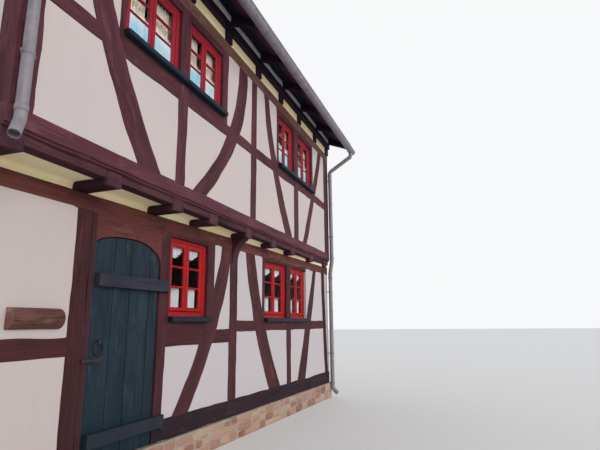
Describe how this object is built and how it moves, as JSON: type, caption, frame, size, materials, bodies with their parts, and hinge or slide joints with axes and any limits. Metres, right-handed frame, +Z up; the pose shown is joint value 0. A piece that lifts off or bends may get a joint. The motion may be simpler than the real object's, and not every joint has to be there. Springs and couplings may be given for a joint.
{
  "type": "half timbered house",
  "caption": "Half timbered town house with jettied upper storey, curved braces, plank door, casement windows and tiled saddle roof.",
  "frame": {"origin": "centre of the underside of the plinth's level, under the middle of the upper storey's plan", "axes": "+X along the front to the right as seen from outside, +Y from the front into the house, +Z up"},
  "size_m": [8.6, 8.398, 9.9205],
  "materials": {
    "timber": "matt",
    "plaster": "matt",
    "sandstone": "rough",
    "floor_stone": "rough",
    "door_boards": "satin",
    "iron": "rough",
    "masonry": "matt",
    "floor_boards": "matt",
    "tiles": "rough",
    "zinc": "satin",
    "red_paint": "gloss",
    "window_glass": "clear",
    "sill_paint": "satin",
    "log_wood": "rough"
  },
  "bodies": {
    "house": {"plinth": "sandstone", "ground_floor": "floor_stone", "front_left_frame": "timber", "front_left_infill": "plaster", "front_right_frame": "timber", "front_right_infill": "plaster", "front_ground_plate": "timber", "door_frame": "timber", "door_pintles": "iron", "rear_ground_frame": "timber", "rear_ground_infill": "plaster", "left_party_wall": "masonry", "right_party_wall": "masonry", "floor_joists": "timber", "joist_fillers": "timber", "joist_infill": "plaster", "jetty_bracket": "timber", "bressummer": "timber", "upper_floor": "floor_boards", "upper_front_frame": "timber", "upper_front_infill": "plaster", "rear_upper_frame": "timber", "rear_upper_infill": "plaster", "wall_plates": "timber", "attic_beams": "timber", "attic_floor": "floor_boards", "eaves_purlins": "timber", "eaves_infill": "plaster", "rafters": "timber", "front_roof": "tiles", "rear_roof": "tiles", "ridge_tiles": "tiles", "gutters": "zinc", "front_downpipes": "zinc", "rear_downpipe": "zinc", "ground_windows": "red_paint", "ground_glass": "window_glass", "upper_windows": "red_paint", "upper_glass": "window_glass", "window_sills": "sill_paint", "log_board": "log_wood"},
    "door_leaf": {"front_door": "door_boards", "door_battens": "door_boards", "door_ironwork": "iron"}
  },
  "joints": [
    {"name": "front_door_hinge", "type": "hinge", "parent": "house", "child": "door_leaf", "pos_m": [-1.6551, -3.1634, 0.49], "axis": [0, 0, 1], "range_deg": [0, 95]}
  ]
}
